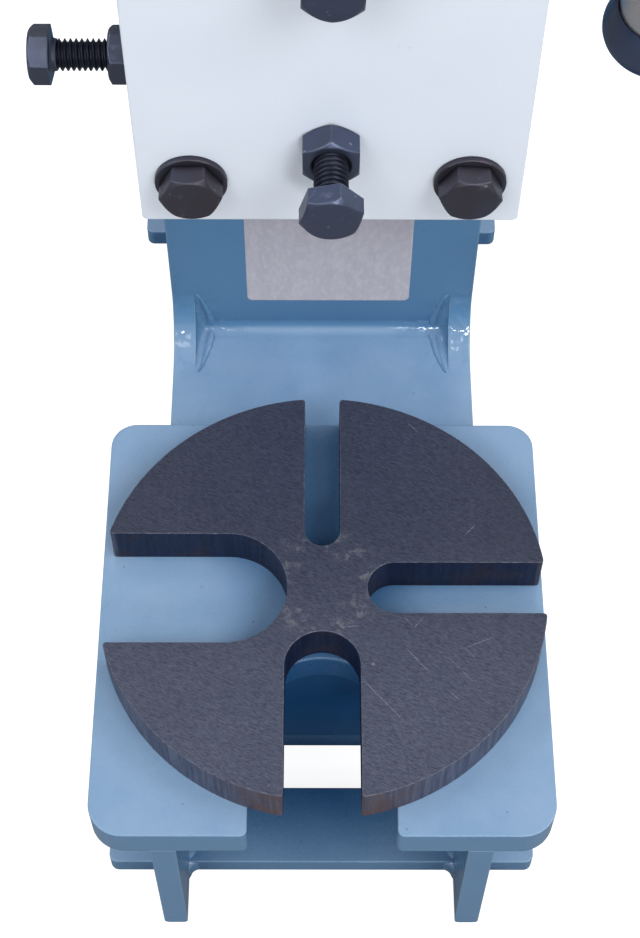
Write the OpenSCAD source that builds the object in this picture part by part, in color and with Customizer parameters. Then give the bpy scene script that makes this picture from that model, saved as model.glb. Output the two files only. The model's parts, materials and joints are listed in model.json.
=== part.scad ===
// Hand press with a welded plate frame and a toothed ram driven by a pinion.
// Sizes in millimetres. X runs to the right, Y to the back, Z up from the bench.
// The origin is the middle of the four bench bolt holes, on the bench.

/* [Frame] */
// inside width between the two side plates
frame_inside_w = 126; // [116:1:140]
// thickness of each side plate
side_plate_t = 11; // [8:0.5:14]
// distance from the origin to the front edge of the frame
frame_front = 232; // [226:1:245]
// distance from the origin to the front edge of the column
column_front = 44; // [30:1:60]
// depth of the column from front to back
column_depth = 171; // [165:1:190]
// radius of the two inside corners of the throat
throat_r = 28; // [10:1:34]
// radius of the outside corner at the top of the column
crown_r = 60; // [20:1:80]
// radius of the front corners of the two arms
arm_nose_r = 16; // [6:1:24]
// thickness of the plates welded between the side plates
web_t = 10; // [6:1:12]
// height of the lower edge of the arms above the bench
arm_z = 540; // [535:1:550]
// height of the arms
arm_h = 100; // [95:1:120]

/* [Feet] */
// distance from the origin to the centre line of the front foot
front_foot_set = 187.5; // [180:0.5:195]
// distance from the origin to the centre line of the rear foot
rear_foot_set = 191.5; // [184:0.5:195]
// width of each foot, front to back
foot_w = 37.5; // [30:0.5:40]
// thickness of each foot
foot_t = 11; // [8:1:14]
// length of each foot across the frame
foot_l = 202; // [200:1:230]
// radius of the upright corners of each foot
foot_corner_r = 4; // [1:0.5:6]
// diameter of a bench bolt hole
bench_hole_d = 11; // [8:0.5:13]
// distance between the bench bolt holes across the frame
bench_hole_pitch = 176; // [174:1:180]
// distance between the bench bolt holes from front to back
bench_hole_run = 375; // [370:1:380]

/* [Table] */
// width of the table
table_w = 200; // [180:1:240]
// depth of the table, front to back
table_d = 206; // [200:1:240]
// thickness of the table
table_t = 18; // [12:1:24]
// height of the table top above the bench
table_z = 115; // [100:1:130]
// radius of the back corners of the table
table_back_r = 12; // [4:1:20]
// radius of the front corners of the table
table_front_r = 15; // [4:1:20]
// radius of the corners at the mouth of the table opening
table_mouth_r = 3; // [1:0.5:6]
// width of the table opening
table_slot_w = 64; // [50:1:76]
// length of the table opening from the front edge to its round end
table_slot_l = 83; // [60:1:88]
// distance from the table opening to the cross plate under the table
cross_web_set = 7; // [2:1:12]

/* [Table plate] */
// diameter of the round table plate
disc_d = 199; // [180:1:210]
// thickness of the round table plate
disc_t = 22; // [18:1:26]
// distance from the front edge of the table to the rim of the plate
disc_margin = 7.5; // [2:0.5:12]
// width of the back notch
notch_back_w = 16; // [10:1:24]
// width of the right notch
notch_right_w = 25; // [18:1:30]
// width of the front notch
notch_front_w = 33; // [26:1:36]
// width of the left notch
notch_left_w = 54; // [40:1:58]
// distance from the plate centre to the end of the back notch
notch_back_end = 21; // [16:1:30]
// distance from the plate centre to the end of the right notch
notch_right_end = 20; // [16:1:30]
// distance from the plate centre to the end of the front notch
notch_front_end = 21.5; // [16:0.5:30]
// distance from the plate centre to the end of the left notch
notch_left_end = 15.5; // [14:0.5:24]
// diameter of the pivot pin under the plate
pivot_d = 14; // [10:1:16]
// height of the pivot pin above the table
pivot_h = 10; // [6:1:14]

/* [Ram and rack] */
// side of the square ram
ram_w = 44; // [40:1:46]
// length of the ram
ram_l = 480; // [470:1:520]
// height of the lower end of the ram above the bench, as shown
ram_z = 461; // [455:1:465]
// distance of the ram axis in front of the plate centre
ram_lead = 60; // [52:1:66]
// radius of the lower corners of the ram
ram_corner_r = 1.5; // [1:0.5:8]
// length of plain ram below the lowest tooth
rack_start = 52; // [45:1:60]
// gear module of the rack and the pinion
gear_module = 3; // [2.5:0.25:3]
// number of teeth on the pinion
pinion_teeth = 12; // [12:1:13]
// pressure angle of the teeth
pressure_angle = 25; // [25:0.5:27]
// play between the teeth, measured along the pitch line
tooth_play = 0.5; // [0.3:0.05:0.7]

/* [Head] */
// height of the lower face of the head above the bench
head_z = 521.5; // [518:0.5:526]
// height of the head
head_h = 113; // [108:1:120]
// width across the two cheeks
head_w = 92; // [90:1:100]
// depth of the cheeks behind the front plate
cheek_d = 155; // [150:1:160]
// width of the white front plate
front_plate_w = 90; // [80:1:90]
// thickness of the white front plate
front_plate_t = 12; // [8:1:16]
// radius of the corners of the white front plate
front_plate_r = 1.5; // [1:0.5:4]
// thickness of the front gib
front_gib_t = 8.2; // [5:0.2:10]
// thickness of the side gib
side_gib_t = 6; // [4:0.5:7]
// thickness of the plate that closes the back of the head
head_back_t = 12; // [8:1:16]
// length of the pads between the cheeks and the arms
pad_l = 48; // [40:1:50]
// length of the arms in front of the pads
arm_lap = 4; // [1:1:8]

/* [Screws] */
// thread diameter of the head screws
screw_d = 8; // [6:1:8]
// width across flats of the head screws and nuts
screw_af = 13; // [11:0.5:13]
// height of a hexagon screw head
screw_head_t = 5.3; // [4:0.1:6]
// height of a lock nut
nut_t = 6.8; // [5:0.1:7]
// outside diameter of a washer
washer_d = 17; // [15:0.5:18]
// thickness of a washer
washer_t = 1.6; // [1:0.1:2]
// distance from a corner bolt to the side edge of the front plate
bolt_side = 12.5; // [11:0.5:14]
// distance from a corner bolt to the upper or lower edge of the front plate
bolt_edge = 15; // [11:0.5:18]
// depth of a corner bolt in the cheek
bolt_grip = 22; // [14:1:30]
// distance from a front gib screw to the upper or lower edge of the plate
gib_screw_edge = 27.5; // [24:0.5:32]
// bare thread on the lower front gib screw
gib_gap_lower = 10.6; // [4:0.2:16]
// bare thread on the upper front gib screw
gib_gap_upper = 1; // [0.5:0.5:8]
// distance from a side gib screw to the upper or lower face of the head
side_screw_edge = 11.5; // [10:0.5:16]
// bare thread on each side gib screw
side_gap = 14.3; // [6:0.1:18]
// diameter of the countersunk screws that hold the head
head_screw_d = 10; // [8:1:10]
// length of the countersunk screws
head_screw_l = 42; // [36:1:46]

/* [Pinion shaft] */
// width of the pinion
pinion_w = 42; // [36:1:44]
// diameter of the right journal, larger than the pinion
journal_right_d = 44; // [44:1:46]
// diameter of the left journal, smaller than the tooth roots
journal_left_d = 26; // [22:1:26]
// wall thickness of the two bushes
bush_wall = 5; // [3:0.5:6]
// length of the right bearing boss
boss_right_l = 28; // [28:1:34]
// length of the left bearing boss
boss_left_l = 14; // [10:1:18]
// wall thickness of the bearing bosses
boss_wall = 8; // [5:1:10]
// diameter of the hub at the end of the shaft
hub_d = 58; // [52:1:62]
// width of the hub
hub_w = 34; // [33:1:38]
// diameter of the retaining washer at the left end
keeper_d = 42; // [38:1:46]
// thickness of the retaining washer
keeper_t = 5; // [3:0.5:8]

/* [Lever] */
// diameter of the lever bar
lever_d = 25; // [20:1:26]
// length of the lever bar
lever_l = 456; // [430:1:460]
// length of the lever bar below the shaft, as shown
lever_below = 96; // [80:1:110]
// lean of the lever to the front, as shown
lever_lean = 11; // [0:1:15]
// largest diameter of the end caps
cap_d = 32; // [30:0.5:36]
// diameter of the end caps at their open end
cap_mouth_d = 28; // [27:0.5:29.5]
// length of the end caps
cap_l = 18; // [12:1:20]
// closed end of the end caps
cap_end_t = 4; // [2:0.5:5]
// diameter of the lock screw in the hub
lock_d = 10; // [8:1:12]

/* [Hidden] */
$fn = 64;
// play between sliding faces, between a shaft and its hole, and in a fixed seat
slide_play = 0.1;
turn_play = 0.05;
seat_play = 0.02;
// length by which cutting shapes run past the faces they cut
past = 2;
// share of a hexagon's width across corners that lies on one side
hex_k = 1 / sqrt(3);
hex_sides = 6;
half = 0.5;
quarter = 0.25;
right_angle = 90;

side_in = frame_inside_w * half;
side_out = side_in + side_plate_t;
front_y = -frame_front;
column_back = column_front + column_depth;
base_top = table_z - table_t;
arm_top = arm_z + arm_h;
foot_ys = [-front_foot_set, rear_foot_set];
hole_y = bench_hole_run * half;
table_back_y = front_y + table_d;
slot_end_y = front_y + table_slot_l;
cross_y = slot_end_y + cross_web_set;
disc_r = disc_d * half;
disc_y = front_y + disc_margin + disc_r;
pivot_gap = 1;
disc_facets = 128;

// rack and pinion
pitch_r = gear_module * pinion_teeth * half;
tooth_pitch = PI * gear_module;
dedendum_k = 1.25;
tip_r = pitch_r + gear_module;
root_r = pitch_r - dedendum_k * gear_module;
base_r = pitch_r * cos(pressure_angle);
mesh_slack = 0.1;
flank_steps = 6;
rad = 180 / PI;

// ram and head
ram_half = ram_w * half;
ram_y = disc_y - ram_lead;
ram_front = ram_y - ram_half;
ram_back = ram_y + ram_half;
gib_front = ram_front - slide_play - front_gib_t;
plate_back = gib_front - slide_play;
plate_front = plate_back - front_plate_t;
cheek_back = plate_back + cheek_d;
head_half = head_w * half;
head_top = head_z + head_h;
shaft_z = head_z + head_h * half;
shaft_y = ram_back - gear_module + pitch_r + mesh_slack;
right_in = ram_half + slide_play;
left_in = right_in + side_gib_t + slide_play;
guide_y = ram_back + slide_play;
guide_back = cheek_back - head_back_t;
pinion_clear = 4;
pinion_room = tip_r + pinion_clear;
pad_front = cheek_back - pad_l;
arm_front = pad_front - arm_lap;
pad_t = side_in - head_half;
pad_z = max(head_z, arm_z);
pad_h = min(head_top, arm_top) - pad_z;

// rack teeth, counted from the gap that faces the pinion
gap_phase = shaft_z - ram_z;
gap_first = ceil((rack_start - gap_phase) / tooth_pitch);
rack_top_land = 14;
gap_last = floor((ram_l - rack_top_land - gap_phase) / tooth_pitch);
gap_tip = tooth_pitch * quarter + tooth_play * quarter + gear_module * tan(pressure_angle);
gap_root = tooth_pitch * quarter + tooth_play * quarter - dedendum_k * gear_module * tan(pressure_angle);
gap_depth = (1 + dedendum_k) * gear_module;

// shaft, hub and lever
bush_right_d = journal_right_d + 2 * bush_wall;
bush_left_d = journal_left_d + 2 * bush_wall;
boss_right_d = bush_right_d + 2 * boss_wall;
boss_left_d = bush_left_d + 2 * boss_wall;
boss_right_x = head_half + boss_right_l;
boss_left_x = head_half + boss_left_l;
bush_set = 1;
bush_proud = 2;
hub_gap = 0.3;
bush_right_end = boss_right_x + bush_proud;
bush_left_end = boss_left_x + bush_proud;
hub_x = bush_right_end + hub_gap;
lever_x = hub_x + hub_w * half;
keeper_x = bush_left_end + hub_gap;
neck_step = 1;
neck_d = 2 * root_r - neck_step;
journal_gap = 0.4;
journal_right_x = right_in + journal_gap;
keeper_bolt_d = screw_d;
keeper_bolt_l = 20;
cap_seat = cap_l - cap_end_t;
cap_round = 4;
cap_belly = cap_l * half;
lock_head_t = 6.4;
lock_af = 16;
lock_gap = 3;

// turn of the hexagons from a corner facing up, as they were tightened
bolt_turn = right_angle / 3;
gib_screw_turn = 15;
side_screw_turn = 8;

// fasteners
bolt_x = front_plate_w * half - bolt_side;
bolt_low = head_z + bolt_edge;
bolt_high = head_top - bolt_edge;
gib_low = head_z + gib_screw_edge;
gib_high = head_top - gib_screw_edge;
side_low = head_z + side_screw_edge;
side_high = head_top - side_screw_edge;
head_screw_y = [pad_front + pad_l * quarter, cheek_back - pad_l * quarter];
head_screw_z = [pad_z + pad_h * quarter, pad_z + pad_h * (1 - quarter)];
head_screw_cone = head_screw_d * half;
head_screw_tip = side_out - head_screw_l;
key_d = head_screw_d * half;
key_depth = head_screw_d * quarter;

// box given by its two opposite corners
module box(a, b) {
    translate(a) cube(b - a);
}

// round bar along X
module bar_x(x0, x1, y, z, d) {
    translate([x0, y, z]) rotate([0, right_angle, 0]) cylinder(h = x1 - x0, d = d);
}

// round bar along Y, from y0 to y1
module bar_y(y0, y1, x, z, d) {
    translate([x, y0, z]) rotate([-right_angle, 0, 0]) cylinder(h = y1 - y0, d = d);
}

// hexagon along X, turned from a corner facing up
module hex_x(x0, x1, y, z, af, turn) {
    translate([x0, y, z]) rotate([turn, 0, 0]) rotate([0, right_angle, 0])
        cylinder(h = x1 - x0, d = 2 * af * hex_k, $fn = hex_sides);
}

// hexagon along Y, turned from a corner facing up
module hex_y(y0, y1, x, z, af, turn) {
    translate([x, y0, z]) rotate([0, turn, 0]) rotate([-right_angle, 0, 0])
        rotate([0, 0, right_angle]) cylinder(h = y1 - y0, d = 2 * af * hex_k, $fn = hex_sides);
}

// waste left outside a rounded upright corner, sx and sy point into the plate
module corner_z(x, y, r, sx, sy, z0, z1) {
    difference() {
        box([min(x - past * sx, x + r * sx), min(y - past * sy, y + r * sy), z0 - past],
            [max(x - past * sx, x + r * sx), max(y - past * sy, y + r * sy), z1 + past]);
        translate([x + r * sx, y + r * sy, z0 - 2 * past]) cylinder(h = z1 - z0 + 4 * past, r = r);
    }
}

// waste left outside a rounded corner that runs along X
module corner_x(y, z, r, sy, sz, x0, x1) {
    difference() {
        box([x0 - past, min(y - past * sy, y + r * sy), min(z - past * sz, z + r * sz)],
            [x1 + past, max(y - past * sy, y + r * sy), max(z - past * sz, z + r * sz)]);
        bar_x(x0 - 2 * past, x1 + 2 * past, y + r * sy, z + r * sz, 2 * r);
    }
}

// waste left outside a rounded corner that runs along Y
module corner_y(x, z, r, sx, sz, y0, y1) {
    difference() {
        box([min(x - past * sx, x + r * sx), y0 - past, min(z - past * sz, z + r * sz)],
            [max(x - past * sx, x + r * sx), y1 + past, max(z - past * sz, z + r * sz)]);
        bar_y(y0 - 2 * past, y1 + 2 * past, x + r * sx, z + r * sz, 2 * r);
    }
}

// filling of an inside corner that runs along X, sy and sz point into the open space
module fillet_x(y, z, r, sy, sz, x0, x1) {
    difference() {
        box([x0, min(y, y + r * sy), min(z, z + r * sz)], [x1, max(y, y + r * sy), max(z, z + r * sz)]);
        bar_x(x0 - past, x1 + past, y + r * sy, z + r * sz, 2 * r);
    }
}

// one side plate between x0 and x1
module side_plate(x0, x1) {
    difference() {
        union() {
            box([x0, front_y, 0], [x1, column_back, base_top]);
            box([x0, column_front, 0], [x1, column_back, arm_top]);
            box([x0, arm_front, arm_z], [x1, column_back, arm_top]);
            fillet_x(column_front, base_top, throat_r, -1, 1, x0, x1);
            fillet_x(column_front, arm_z, throat_r, -1, -1, x0, x1);
        }
        for (y = foot_ys)
            box([x0 - past, y - foot_w * half, -past], [x1 + past, y + foot_w * half, foot_t]);
        corner_x(column_back, arm_top, crown_r, -1, -1, x0, x1);
        corner_x(arm_front, arm_top, arm_nose_r, 1, -1, x0, x1);
        corner_x(arm_front, arm_z, arm_nose_r, 1, 1, x0, x1);
    }
}

// one of the countersunk screws at the right side, with its hexagon socket
module head_screw(y, z, play) {
    bar_x(head_screw_tip - play, side_out - head_screw_cone * half, y, z, head_screw_d + 2 * play);
    translate([side_out - head_screw_cone, y, z]) rotate([0, right_angle, 0])
        cylinder(h = head_screw_cone, r1 = head_screw_d * half + play, r2 = head_screw_d + play);
}

// all places of the countersunk screws on one side, side is 1 or -1
module head_screw_set(side, play) {
    for (y = head_screw_y)
        for (z = head_screw_z)
            mirror([side < 0 ? 1 : 0, 0, 0]) head_screw(y, z, play);
}

module left_side_plate() {
    color([0.55, 0.68, 0.8]) difference() {
        side_plate(-side_out, -side_in);
        head_screw_set(-1, seat_play);
    }
}

module right_side_plate() {
    color([0.55, 0.68, 0.8]) difference() {
        side_plate(side_in, side_out);
        head_screw_set(1, seat_play);
    }
}

module column_web() {
    color([0.55, 0.68, 0.8]) box([-side_in, column_front, base_top], [side_in, column_front + web_t, arm_z]);
}

module throat_web() {
    color([0.55, 0.68, 0.8])
        box([-side_in, cross_y + web_t, base_top - web_t], [side_in, column_front + web_t, base_top]);
}

module back_web() {
    color([0.55, 0.68, 0.8])
        box([-side_in, column_back - web_t, foot_t], [side_in, column_back, arm_top - crown_r]);
}

module arm_web() {
    color([0.55, 0.68, 0.8])
        box([-side_in, cheek_back, arm_z], [side_in, column_front + web_t, arm_z + web_t]);
}

// top plate with the bend that runs down to the back plate
module crown_plate() {
    bend_y = column_back - crown_r;
    bend_z = arm_top - crown_r;
    color([0.55, 0.68, 0.8]) union() {
        box([-side_in, cheek_back, arm_top - web_t], [side_in, bend_y, arm_top]);
        difference() {
            box([-side_in, bend_y, bend_z], [side_in, column_back, arm_top]);
            corner_x(column_back, arm_top, crown_r, -1, -1, -side_in, side_in);
            bar_x(-side_in - past, side_in + past, bend_y, bend_z, 2 * (crown_r - web_t));
        }
    }
}

module table_cross_web() {
    color([0.55, 0.68, 0.8]) box([-side_in, cross_y, 0], [side_in, cross_y + web_t, base_top]);
}

module table() {
    hw = table_w * half;
    sw = table_slot_w * half;
    color([0.55, 0.68, 0.8]) difference() {
        box([-hw, front_y, base_top], [hw, table_back_y, table_z]);
        box([-sw, front_y - past, base_top - past], [sw, slot_end_y - sw, table_z + past]);
        translate([0, slot_end_y - sw, base_top - past]) cylinder(h = table_t + 2 * past, r = sw);
        for (s = [-1, 1]) {
            corner_z(s * hw, table_back_y, table_back_r, -s, -1, base_top, table_z);
            corner_z(s * hw, front_y, table_front_r, -s, 1, base_top, table_z);
            corner_z(s * sw, front_y, table_mouth_r, s, 1, base_top, table_z);
        }
        translate([0, disc_y, base_top - past]) cylinder(h = table_t + 2 * past, d = pivot_d + 2 * seat_play);
    }
}

// one foot around the centre line y, with its two bench bolt holes at bolt_y
module foot(y, bolt_y) {
    end = foot_l * half;
    edge = foot_w * half;
    difference() {
        box([-end, y - edge, 0], [end, y + edge, foot_t]);
        for (s = [-1, 1]) {
            translate([s * bench_hole_pitch * half, bolt_y, -past])
                cylinder(h = foot_t + 2 * past, d = bench_hole_d);
            corner_z(s * end, y - edge, foot_corner_r, -s, 1, 0, foot_t);
            corner_z(s * end, y + edge, foot_corner_r, -s, -1, 0, foot_t);
        }
    }
}

module front_foot() {
    color([0.55, 0.68, 0.8]) foot(-front_foot_set, -hole_y);
}

module rear_foot() {
    color([0.55, 0.68, 0.8]) foot(rear_foot_set, hole_y);
}

// corner bolt, its length in the head and the play around it
module bolt_shank(x, z, play) {
    bar_y(plate_front - past * play, plate_back + bolt_grip + play, x, z, screw_d + 2 * play);
}

module bolt_places(play) {
    for (x = [-bolt_x, bolt_x])
        for (z = [bolt_low, bolt_high])
            bolt_shank(x, z, play);
}

module side_screw_holes(play) {
    for (z = [side_low, side_high])
        bar_x(-head_half - past, -left_in + past, ram_y, z, screw_d + 2 * play);
}

module left_cheek() {
    color([0.88, 0.9, 0.93]) difference() {
        box([-head_half, plate_back, head_z], [-left_in, cheek_back, head_top]);
        bolt_places(seat_play);
        side_screw_holes(turn_play);
        head_screw_set(-1, seat_play);
        bar_x(-head_half - past, -left_in + past, shaft_y, shaft_z, bush_left_d + 2 * seat_play);
    }
}

module right_cheek() {
    color([0.88, 0.9, 0.93]) difference() {
        box([right_in, plate_back, head_z], [head_half, cheek_back, head_top]);
        bolt_places(seat_play);
        head_screw_set(1, seat_play);
        bar_x(right_in - past, head_half + past, shaft_y, shaft_z, bush_right_d + 2 * seat_play);
    }
}

// spacer between a cheek and an arm
module pad(side) {
    difference() {
        box([min(side * head_half, side * side_in), pad_front, pad_z],
            [max(side * head_half, side * side_in), cheek_back, pad_z + pad_h]);
        head_screw_set(side, seat_play);
    }
}

module left_pad() {
    color([0.55, 0.68, 0.8]) pad(-1);
}

module right_pad() {
    color([0.55, 0.68, 0.8]) pad(1);
}

module lower_rear_guide() {
    color([0.6, 0.6, 0.63])
        box([-left_in, guide_y, head_z], [right_in, guide_back, shaft_z - pinion_room]);
}

module upper_rear_guide() {
    color([0.6, 0.6, 0.63])
        box([-left_in, guide_y, shaft_z + pinion_room], [right_in, guide_back, head_top]);
}

module head_back_plate() {
    color([0.88, 0.9, 0.93])
        box([-left_in, guide_back, head_z], [right_in, cheek_back, head_top]);
}

module front_plate() {
    edge = front_plate_w * half;
    color([0.9, 0.92, 0.95]) difference() {
        box([-edge, plate_front, head_z], [edge, plate_back, head_top]);
        for (s = [-1, 1]) {
            corner_y(s * edge, head_z, front_plate_r, -s, 1, plate_front, plate_back);
            corner_y(s * edge, head_top, front_plate_r, -s, -1, plate_front, plate_back);
        }
        bolt_places(seat_play);
        for (z = [gib_low, gib_high])
            bar_y(plate_front - past, plate_back + past, 0, z, screw_d + 2 * turn_play);
    }
}

module front_gib() {
    color([0.72, 0.58, 0.32])
        box([-ram_half, gib_front, head_z], [ram_half, gib_front + front_gib_t, head_top]);
}

module side_gib() {
    color([0.72, 0.58, 0.32])
        box([-left_in + slide_play, ram_front, head_z], [-ram_half - slide_play, ram_back, head_top]);
}

// head of a corner bolt
module bolt_head(x, z) {
    hex_y(plate_front - washer_t - screw_head_t, plate_front - washer_t, x, z, screw_af, bolt_turn);
}

module corner_bolts() {
    color([0.2, 0.2, 0.23])
        for (x = [-bolt_x, bolt_x])
            for (z = [bolt_low, bolt_high])
                union() {
                    bolt_head(x, z);
                    bar_y(plate_front - washer_t - screw_head_t, plate_back + bolt_grip, x, z, screw_d);
                }
}

module corner_washers() {
    color([0.25, 0.25, 0.28])
        for (x = [-bolt_x, bolt_x])
            for (z = [bolt_low, bolt_high])
                difference() {
                    bar_y(plate_front - washer_t, plate_front, x, z, washer_d);
                    bar_y(plate_front - washer_t - past, plate_front + past, x, z, screw_d + 2 * seat_play);
                }
}

// front gib screw at height z with a length of bare thread outside its nut
module front_gib_screw(z, gap) {
    neck = plate_front - nut_t - gap;
    union() {
        hex_y(neck - screw_head_t, neck, 0, z, screw_af, gib_screw_turn);
        bar_y(neck - screw_head_t, plate_back, 0, z, screw_d);
    }
}

module lower_front_gib_screw() {
    color([0.2, 0.2, 0.23]) front_gib_screw(gib_low, gib_gap_lower);
}

module upper_front_gib_screw() {
    color([0.2, 0.2, 0.23]) front_gib_screw(gib_high, gib_gap_upper);
}

module front_gib_locknuts() {
    color([0.2, 0.2, 0.23])
        for (z = [gib_low, gib_high])
            difference() {
                hex_y(plate_front - nut_t, plate_front, 0, z, screw_af, 0);
                bar_y(plate_front - nut_t - past, plate_front + past, 0, z, screw_d + 2 * turn_play);
            }
}

// side gib screw at height z
module side_gib_screw(z) {
    neck = -head_half - washer_t - nut_t - side_gap;
    union() {
        hex_x(neck - screw_head_t, neck, ram_y, z, screw_af, side_screw_turn);
        bar_x(neck - screw_head_t, -left_in, ram_y, z, screw_d);
    }
}

module lower_side_gib_screw() {
    color([0.2, 0.2, 0.23]) side_gib_screw(side_low);
}

module upper_side_gib_screw() {
    color([0.2, 0.2, 0.23]) side_gib_screw(side_high);
}

module side_gib_locknuts() {
    seat = -head_half - washer_t;
    color([0.2, 0.2, 0.23])
        for (z = [side_low, side_high])
            difference() {
                hex_x(seat - nut_t, seat, ram_y, z, screw_af, 0);
                bar_x(seat - nut_t - past, seat + past, ram_y, z, screw_d + 2 * turn_play);
            }
}

module side_gib_washers() {
    color([0.25, 0.25, 0.28])
        for (z = [side_low, side_high])
            difference() {
                bar_x(-head_half - washer_t, -head_half, ram_y, z, washer_d);
                bar_x(-head_half - washer_t - past, -head_half + past, ram_y, z, screw_d + 2 * turn_play);
            }
}

module head_screws() {
    color([0.2, 0.2, 0.23])
        for (side = [-1, 1])
            for (y = head_screw_y)
                for (z = head_screw_z)
                    mirror([side < 0 ? 1 : 0, 0, 0]) difference() {
                        head_screw(y, z, 0);
                        hex_x(side_out - key_depth, side_out + past, y, z, key_d, 0);
                    }
}

module right_boss() {
    color([0.88, 0.9, 0.93]) difference() {
        bar_x(head_half, boss_right_x, shaft_y, shaft_z, boss_right_d);
        bar_x(head_half - past, boss_right_x + past, shaft_y, shaft_z, bush_right_d + 2 * seat_play);
    }
}

module left_boss() {
    color([0.88, 0.9, 0.93]) difference() {
        bar_x(-boss_left_x, -head_half, shaft_y, shaft_z, boss_left_d);
        bar_x(-boss_left_x - past, -head_half + past, shaft_y, shaft_z, bush_left_d + 2 * seat_play);
    }
}

module right_bush() {
    color([0.72, 0.55, 0.3]) difference() {
        bar_x(right_in + bush_set, bush_right_end, shaft_y, shaft_z, bush_right_d);
        bar_x(right_in - past, bush_right_end + past, shaft_y, shaft_z, journal_right_d + 2 * turn_play);
    }
}

module left_bush() {
    color([0.72, 0.55, 0.3]) difference() {
        bar_x(-bush_left_end, -left_in - bush_set, shaft_y, shaft_z, bush_left_d);
        bar_x(-bush_left_end - past, -left_in + past, shaft_y, shaft_z, journal_left_d + 2 * turn_play);
    }
}

// one gap of the rack, as points from its upper to its lower edge
function gap_points(k) = [
    [ram_back, gap_phase + k * tooth_pitch + gap_tip],
    [ram_back - gap_depth, gap_phase + k * tooth_pitch + gap_root],
    [ram_back - gap_depth, gap_phase + k * tooth_pitch - gap_root],
    [ram_back, gap_phase + k * tooth_pitch - gap_tip]];

module ram() {
    outline = concat([[ram_front, 0], [ram_front, ram_l], [ram_back, ram_l]],
        [for (k = [gap_last : -1 : gap_first]) each gap_points(k)], [[ram_back, 0]]);
    color([0.66, 0.66, 0.69]) translate([0, 0, ram_z]) difference() {
        translate([-ram_half, 0, 0]) rotate([right_angle, 0, right_angle])
            linear_extrude(height = ram_w) polygon(outline);
        for (s = [-1, 1])
            corner_y(s * ram_half, 0, ram_corner_r, -s, 1, ram_front, ram_back);
    }
}

// involute of an angle, in degrees
function inv(a) = tan(a) * rad - a;
// half angle of a tooth at radius r
half_pitch_angle = (tooth_pitch * half - tooth_play * half) / (2 * pitch_r) * rad;
function half_angle(r) = half_pitch_angle + inv(pressure_angle) - (r > base_r ? inv(acos(base_r / r)) : 0);
function flank_r(i) = i < 0 ? root_r : base_r + (tip_r - base_r) * i / flank_steps;
function polar(r, a) = [r * cos(a), r * sin(a)];
function tooth_points(c) = concat(
    [for (i = [-1 : flank_steps]) polar(flank_r(i), c - half_angle(flank_r(i)))],
    [for (i = [flank_steps : -1 : -1]) polar(flank_r(i), c + half_angle(flank_r(i)))]);

module pinion() {
    step = 4 * right_angle / pinion_teeth;
    points = [for (t = [0 : pinion_teeth - 1]) each tooth_points(2 * right_angle + t * step)];
    translate([-pinion_w * half, shaft_y, shaft_z]) rotate([right_angle, 0, right_angle])
        linear_extrude(height = pinion_w) polygon(points);
}

// place of the lever, along its own axis from the shaft
module on_lever() {
    translate([lever_x, shaft_y, shaft_z]) rotate([lever_lean, 0, 0]) children();
}

// screw hole for the lock screw, along its own axis from the front of the hub
module on_lock(h0, h1, d) {
    on_lever() translate([0, -h1, 0]) rotate([-right_angle, 0, 0]) cylinder(h = h1 - h0, d = d);
}

module pinion_shaft() {
    color([0.22, 0.22, 0.25]) difference() {
        union() {
            pinion();
            bar_x(-pinion_w * half, journal_right_x, shaft_y, shaft_z, neck_d);
            bar_x(journal_right_x, hub_x, shaft_y, shaft_z, journal_right_d);
            bar_x(-keeper_x, -pinion_w * half, shaft_y, shaft_z, journal_left_d);
            bar_x(hub_x, hub_x + hub_w, shaft_y, shaft_z, hub_d);
        }
        on_lever() translate([0, 0, -hub_d]) cylinder(h = 2 * hub_d, d = lever_d + 2 * turn_play);
        on_lock(lever_d * half - past, hub_d, lock_d + 2 * seat_play);
        bar_x(-keeper_x - past, -keeper_x + keeper_bolt_l, shaft_y, shaft_z, keeper_bolt_d + 2 * seat_play);
    }
}

module keeper_washer() {
    color([0.25, 0.25, 0.28]) difference() {
        bar_x(-keeper_x - keeper_t, -keeper_x, shaft_y, shaft_z, keeper_d);
        bar_x(-keeper_x - keeper_t - past, -keeper_x + past, shaft_y, shaft_z, keeper_bolt_d + 2 * seat_play);
    }
}

module keeper_bolt() {
    seat = -keeper_x - keeper_t;
    color([0.2, 0.2, 0.23]) union() {
        hex_x(seat - screw_head_t, seat, shaft_y, shaft_z, screw_af, 0);
        bar_x(seat - screw_head_t, -keeper_x + keeper_bolt_l - past, shaft_y, shaft_z, keeper_bolt_d);
    }
}

module hub_lock_screw() {
    seat = hub_d * half + lock_gap;
    color([0.2, 0.2, 0.23]) union() {
        on_lock(lever_d * half + turn_play, seat, lock_d);
        on_lever() translate([0, -seat - lock_head_t, 0]) rotate([-right_angle, 0, 0])
            cylinder(h = lock_head_t, d = 2 * lock_af * hex_k, $fn = hex_sides);
    }
}

module lever_bar() {
    color([0.75, 0.75, 0.77]) on_lever() translate([0, 0, -lever_below]) cylinder(h = lever_l, d = lever_d);
}

// end cap standing on z = 0 with its closed end down
module cap() {
    difference() {
        union() {
            translate([0, 0, cap_belly]) cylinder(h = cap_l - cap_belly, d1 = cap_d, d2 = cap_mouth_d);
            translate([0, 0, cap_round]) cylinder(h = cap_belly - cap_round, d1 = cap_d - past, d2 = cap_d);
            cylinder(h = cap_round, d1 = cap_d - past - 2 * cap_round, d2 = cap_d - past);
        }
        translate([0, 0, cap_end_t]) cylinder(h = cap_l, d = lever_d + 2 * seat_play);
    }
}

module lower_lever_cap() {
    color([0.12, 0.13, 0.17]) on_lever() translate([0, 0, -lever_below - cap_end_t]) cap();
}

module upper_lever_cap() {
    color([0.12, 0.13, 0.17]) on_lever() translate([0, 0, lever_l - lever_below + cap_end_t])
        mirror([0, 0, 1]) cap();
}

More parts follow.
